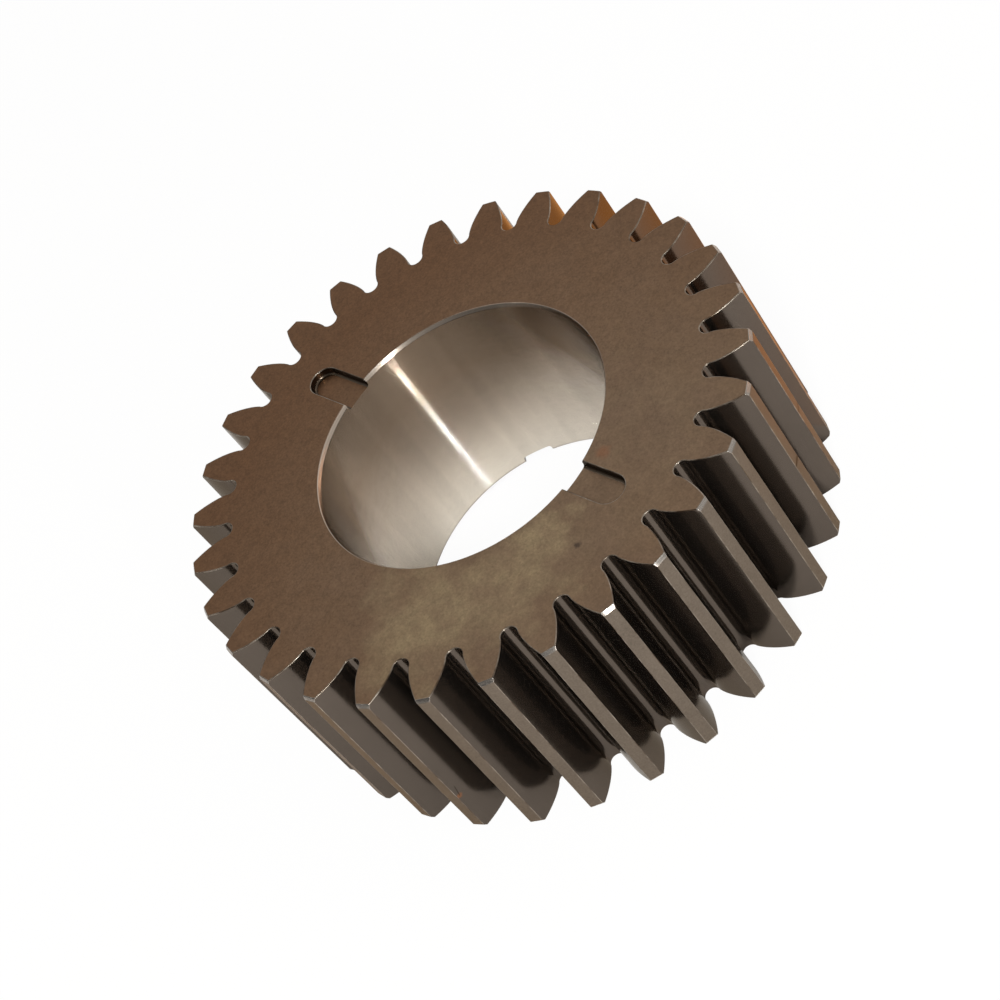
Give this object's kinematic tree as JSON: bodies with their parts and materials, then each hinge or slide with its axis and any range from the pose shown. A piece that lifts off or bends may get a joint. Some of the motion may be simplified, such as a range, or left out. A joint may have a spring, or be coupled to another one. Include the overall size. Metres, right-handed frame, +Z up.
{
  "type": "planet gear",
  "caption": "Solid steel spur planet gear with ground involute teeth, a ground bearing bore and shallow oil slots across both end faces.",
  "frame": {"origin": "where the bore axis meets the lower end face, on which the gear lies", "axes": "+Z runs up the bore axis to the upper end face; the two oil slots of the upper face lie along X, one on +X and one on -X"},
  "size_m": [0.1624, 0.1624, 0.062],
  "materials": {
    "planet_gear": "hardened alloy steel with a thin brown film on the end faces, satin ground tooth flanks and a bright ground bore"
  },
  "bodies": {
    "root": {"planet_gear": "planet_gear"}
  },
  "joints": []
}
